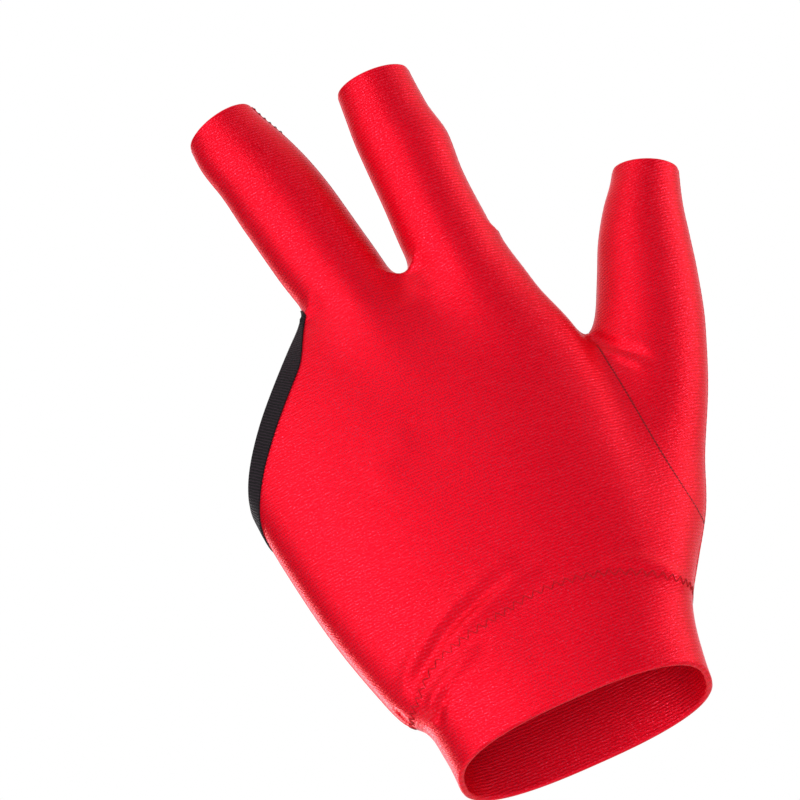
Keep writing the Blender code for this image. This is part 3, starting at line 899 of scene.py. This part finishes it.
def yarn(name, dark, light):
    """A thread's fine fibres."""
    nodes = Nodes(name)
    place = nodes.add("ShaderNodeTexCoord").outputs["Object"]
    fibre = nodes.add("ShaderNodeTexNoise", Vector=place, Scale=4000.0, Detail=2.0).outputs["Fac"]
    nodes.feed(nodes.shader.inputs["Base Color"], nodes.mix(nodes.spread(fibre, 0.35, 0.65), dark, light))
    nodes.shader.inputs["Roughness"].default_value = 0.55
    nodes.shader.inputs["Specular IOR Level"].default_value = 0.3
    bumps = nodes.add("ShaderNodeBump", Strength=0.3, Distance=0.00005, Height=fibre)
    nodes.feed(nodes.shader.inputs["Normal"], bumps.outputs["Normal"])
    nodes.material.diffuse_color = light
    return nodes.material


def zigzag(seam, pitch, reach, offset, radius, inset=0.0):
    """A thread that zigzags along a seam, short of its ends by an inset, and dips in at each turn."""
    length = seam[3][-1] - 2 * inset
    turns = 2 * int(round(length / pitch))
    share = np.linspace(0, turns, turns * 6 + 1)
    corner = np.abs(share - np.round(share))
    across = offset + reach * (1 - 4 * np.abs(share / 2 - np.floor(share / 2 + 0.5)))
    above = radius * (0.9 - 1.6 * np.exp(-((corner / 0.12) ** 2)))
    path = sewn(seam, inset + share / turns * length, across, above)
    return tube(path, radius, radius, outward(path), 5)


def ticks(seam, pitch, reach, lift, radius, length=None):
    """Short threads across a seam, up to a length along it."""
    length = length or seam[3][-1]
    parts = []
    for at in np.arange(pitch / 2, length, pitch):
        across = np.linspace(-reach, reach, 7)
        above = lift * (1 - (across / reach) ** 2) - radius * (across / reach) ** 6
        path = sewn(seam, at + 0.15 * pitch * across / reach, across, above)
        parts.append(tube(path, radius, radius, outward(path), 5))
    return joined(parts)


def lip(seam, wide, high, proud=0.0, fading=20.0):
    """The rounded lip of a seam, drawn in at each stitch of a side seam's pitch, and prouder at its start."""
    along = np.arange(0, seam[3][-1], LIP_STEP)
    pinch = 1 - LIP_PINCH * np.cos((along / SIDE_PITCH - 0.5) * 2 * math.pi) ** 8
    swell = pinch * (1 + proud * np.exp(-along / fading))
    path = sewn(seam, along, np.zeros(len(along)), np.zeros(len(along)))
    return tube(path, wide * swell, high * swell, outward(path), 8)


def fabrics():
    """The materials by name."""
    return {
        "red": knit(
            "red_satin",
            (0.76, 0.0, 0.010, 1),
            (1.0, 0.0, 0.020, 1),
            # the painted glints' colour
            (1.0, 0.055, 0.11, 1),
            0.29,
            0.0,
        ),
        "black": knit(
            "black_palm",
            (0.006, 0.006, 0.007, 1),
            (0.022, 0.022, 0.025, 1),
            # the painted glints' colour
            (0.05, 0.05, 0.055, 1),
            0.6,
            0.08,
        ),
        "elastic": ribbon("black_elastic", (0.001, 0.0004, 0.0008, 1), (0.026, 0.014, 0.022, 1)),
        "red_thread": yarn("red_thread", (0.28, 0.0, 0.004, 1), (0.50, 0.0, 0.010, 1)),
        "dark_thread": yarn("dark_thread", (0.10, 0.0, 0.003, 1), (0.22, 0.0, 0.006, 1)),
        "grey_thread": yarn("grey_thread", (0.08, 0.075, 0.09, 1), (0.22, 0.21, 0.24, 1)),
    }


def add_panels(points, pieces, binding_seam, looks):
    """The five pieces of fabric, each over the solid that it replaces."""
    materials = {"palm_panel": looks["black"], "opening_binding": looks["elastic"]}
    open_ends = np.unique(borders(np.concatenate(list(pieces.values()))))
    for name, faces in pieces.items():
        if name == "opening_binding":
            solid = shell(points, faces, FABRIC + BINDING_RAISE, BINDING_RAISE, open_ends)
            apart = np.linalg.norm(solid[0][:, None] - binding_seam[0][None], axis=2)
            weave = np.stack([binding_seam[3][apart.argmin(axis=1)], apart.min(axis=1)], axis=1)
        else:
            solid = shell(points, faces, CUFF_FABRIC if name == "cuff" else FABRIC, 0, open_ends)
            weave = solid[0][:, [0, 2]]
        piece = add_piece(
            "glove_" + name, solid[0], solid[1], materials.get(name, looks["red"]), solid[2], weave
        )
        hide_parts(name)


def find_side_seams(points, palm):
    """The palm's side seams, the one at the thumb's side of the middle finger's tip first."""
    side_seams = seams_of(points, palm, toward_palm)
    tip = np.array([MIDDLE[1][-2] + MIDDLE_WIDTH / 2, MIDDLE[2][-2], MIDDLE_REACH])
    side_seams.sort(key=lambda seam: np.linalg.norm(seam[0][0] - tip))
    return side_seams


def add_sewing(points, pieces, binding_seam, looks):
    """The seams' lips, the threads, and the painted shade along the thumb's seam."""
    cuff_seam = seams_of(points, pieces["cuff"], over_cuff_seam)[0]
    thumb_seam = seams_of(points, pieces["thumb_panel"], toward_thumb)[0]
    side_seams = find_side_seams(points, pieces["palm_panel"])
    side_stitches = joined([ticks(seam, *SIDE_TICKS) for seam in side_seams])
    binding_zigzag = zigzag(binding_seam, *BINDING_ZIGZAG, BINDING_ZIGZAG_INSET)
    threads = {
        "tip_stitches": (ticks(side_seams[0], *TIP_TICKS, TIP_TICKS_LENGTH), "dark_thread", "red_fabric"),
        "cuff_zigzag": (zigzag(cuff_seam, *CUFF_ZIGZAG), "red_thread", "red_fabric"),
        "thumb_seam_stitches": (ticks(thumb_seam, *THUMB_TICKS), "dark_thread", "red_fabric"),
        # a flat stripe of dark thread along the thumb's seam: painted shade of the seam's groove
        "thumb_seam_painted_shade": (lip(thumb_seam, *THUMB_SHADE_LINE), "dark_thread", "red_fabric"),
        "binding_zigzag": (binding_zigzag, "grey_thread", "black_binding"),
        "side_seam_stitches": (side_stitches, "red_thread", "red_fabric"),
    }
    for number, seam in enumerate(side_seams):
        proud = 0.0 if number else TIP_LIP_PROUD
        piece = add_piece(f"side_seam_{number}", *lip(seam, *SIDE_LIP, proud), looks["red"])
    for name, (skin, thread, slot) in threads.items():
        piece = add_piece(name, *skin, looks[thread])


def dress():
    """The dressed part and its studio."""
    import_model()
    points, pieces = cut_out()
    looks = fabrics()
    binding_seam = seams_of(points, pieces["opening_binding"], in_binding)[0]
    add_panels(points, pieces, binding_seam, looks)
    add_sewing(points, pieces, binding_seam, looks)
    stage()


def area_light(name, place, aim, size, power, spread):
    """A rectangular light."""
    light = bpy.data.lights.new(name, "AREA")
    light.shape = "RECTANGLE"
    light.size, light.size_y = size
    light.energy = power
    light.spread = spread
    lamp = bpy.data.objects.new(name, light)
    lamp.location = Vector(place)
    lamp.rotation_euler = (Vector(aim) - Vector(place)).to_track_quat("-Z", "Y").to_euler()
    bpy.context.scene.collection.objects.link(lamp)


def add_floor():
    """A pale floor below the picture."""
    bpy.ops.mesh.primitive_plane_add(size=FLOOR_SIZE, location=(0, 0, FLOOR_HEIGHT))
    floor = bpy.context.object
    floor.name = "floor"
    ground = bpy.data.materials.new("pale_floor")
    ground.use_nodes = True
    shader = ground.node_tree.nodes["Principled BSDF"]
    shader.inputs["Base Color"].default_value = (0.9, 0.9, 0.9, 1)
    shader.inputs["Roughness"].default_value = 0.8
    floor.data.materials.append(ground)


def white_studio():
    """A white background, and walls of light that the shades darken."""
    world = bpy.data.worlds.new("white")
    world.use_nodes = True
    nodes = world.node_tree.nodes
    links = world.node_tree.links
    seen = nodes.new("ShaderNodeLightPath")
    mix = nodes.new("ShaderNodeMixShader")
    plain = nodes.new("ShaderNodeBackground")
    plain.inputs["Color"].default_value = (1, 1, 1, 1)
    plain.inputs["Strength"].default_value = 1.0
    fill = nodes["Background"]
    fill.inputs["Color"].default_value = (1, 1, 1, 1)
    direction = nodes.new("ShaderNodeTexCoord")
    strength = None
    for way, start, stop, least in SHADES:
        toward = nodes.new("ShaderNodeVectorMath")
        toward.operation = "DOT_PRODUCT"
        toward.inputs[1].default_value = Vector(way).normalized()
        shade = nodes.new("ShaderNodeMapRange")
        shade.interpolation_type = "SMOOTHSTEP"
        for socket, number in zip(shade.inputs[1:5], (start, stop, 1.0, least)):
            socket.default_value = number
        links.new(direction.outputs["Generated"], toward.inputs[0])
        links.new(toward.outputs["Value"], shade.inputs[0])
        product = nodes.new("ShaderNodeMath")
        product.operation = "MULTIPLY"
        links.new(shade.outputs[0], product.inputs[0])
        product.inputs[1].default_value = FILL
        if strength:
            links.new(strength, product.inputs[1])
        strength = product.outputs[0]
    links.new(strength, fill.inputs["Strength"])
    links.new(seen.outputs["Is Camera Ray"], mix.inputs["Fac"])
    links.new(fill.outputs[0], mix.inputs[1])
    links.new(plain.outputs[0], mix.inputs[2])
    links.new(mix.outputs[0], nodes["World Output"].inputs["Surface"])
    return world


def add_camera():
    """The camera that took the photograph."""
    right, up, forward = camera_axes()
    target = np.array(CAMERA_TARGET)
    camera = bpy.data.cameras.new("camera")
    camera.sensor_width = CAMERA_SENSOR
    camera.lens = CAMERA_SENSOR * CAMERA_DISTANCE / PICTURE_WIDTH
    eye = bpy.data.objects.new("camera", camera)
    turn = Matrix((right, up, -forward)).transposed().to_4x4()
    eye.matrix_world = Matrix.Translation(Vector((target - forward * CAMERA_DISTANCE) * MM)) @ turn
    bpy.context.scene.collection.objects.link(eye)
    return eye


def stage():
    """The floor, the lights and the camera."""
    scene = bpy.context.scene
    add_floor()
    scene.world = white_studio()
    for name, light in LIGHTS.items():
        area_light(name, *light)
    scene.view_settings.view_transform = "Standard"
    scene.camera = add_camera()


dress()
